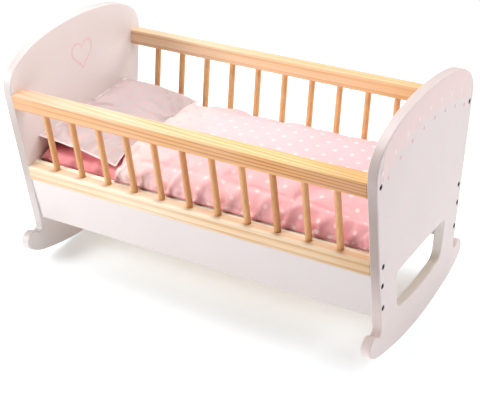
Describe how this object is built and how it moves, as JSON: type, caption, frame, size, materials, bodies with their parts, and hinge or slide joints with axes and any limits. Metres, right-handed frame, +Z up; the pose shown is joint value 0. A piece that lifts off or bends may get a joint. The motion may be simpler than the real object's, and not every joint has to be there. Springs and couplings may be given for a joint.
{
  "type": "doll's cradle",
  "caption": "Wooden doll's cradle on rocker ends, with an arched headboard and footboard, spindled sides, a mattress, a pillow and a dotted duvet.",
  "frame": {"origin": "on the floor, at the middle of the footprint, between the two rocker edges", "axes": "+X from the headboard to the footboard, +Y to the back side, +Z up"},
  "size_m": [0.5, 0.2734, 0.3058],
  "materials": {
    "painted_panel": "satin paint, warm white with a pink cast",
    "painted_apron": "satin paint, warm white",
    "pine_rail": "clear lacquered pine",
    "dowel_wood": "clear lacquered hardwood",
    "base_plywood": "bare plywood",
    "screw_steel": "black oxide",
    "mattress_fabric": "woven cotton",
    "pillow_fabric": "woven cotton with faint dots",
    "duvet_fabric": "woven cotton with white dots"
  },
  "bodies": {
    "frame": {"headboard": "painted_panel", "footboard": "painted_panel", "front_top_rail": "pine_rail", "back_top_rail": "pine_rail", "front_bottom_rail": "pine_rail", "back_bottom_rail": "pine_rail", "front_apron": "painted_apron", "back_apron": "painted_apron", "front_dowel_01": "dowel_wood", "front_dowel_02": "dowel_wood", "front_dowel_03": "dowel_wood", "front_dowel_04": "dowel_wood", "front_dowel_05": "dowel_wood", "front_dowel_06": "dowel_wood", "front_dowel_07": "dowel_wood", "front_dowel_08": "dowel_wood", "front_dowel_09": "dowel_wood", "front_dowel_10": "dowel_wood", "front_dowel_11": "dowel_wood", "back_dowel_01": "dowel_wood", "back_dowel_02": "dowel_wood", "back_dowel_03": "dowel_wood", "back_dowel_04": "dowel_wood", "back_dowel_05": "dowel_wood", "back_dowel_06": "dowel_wood", "back_dowel_07": "dowel_wood", "back_dowel_08": "dowel_wood", "back_dowel_09": "dowel_wood", "back_dowel_10": "dowel_wood", "back_dowel_11": "dowel_wood", "base_board": "base_plywood", "headboard_screws": "screw_steel", "footboard_screws": "screw_steel"},
    "mattress": {"mattress": "mattress_fabric"},
    "pillow": {"pillow": "pillow_fabric"},
    "duvet": {"duvet": "duvet_fabric"}
  },
  "joints": [
    {"name": "mattress_lift", "type": "slide", "parent": "frame", "child": "mattress", "axis": [0, 0, 1], "range_m": [0, 0.2]},
    {"name": "pillow_lift", "type": "slide", "parent": "mattress", "child": "pillow", "axis": [0, 0, 1], "range_m": [0, 0.2]},
    {"name": "duvet_lift", "type": "slide", "parent": "mattress", "child": "duvet", "axis": [0, 0, 1], "range_m": [0, 0.2]}
  ]
}
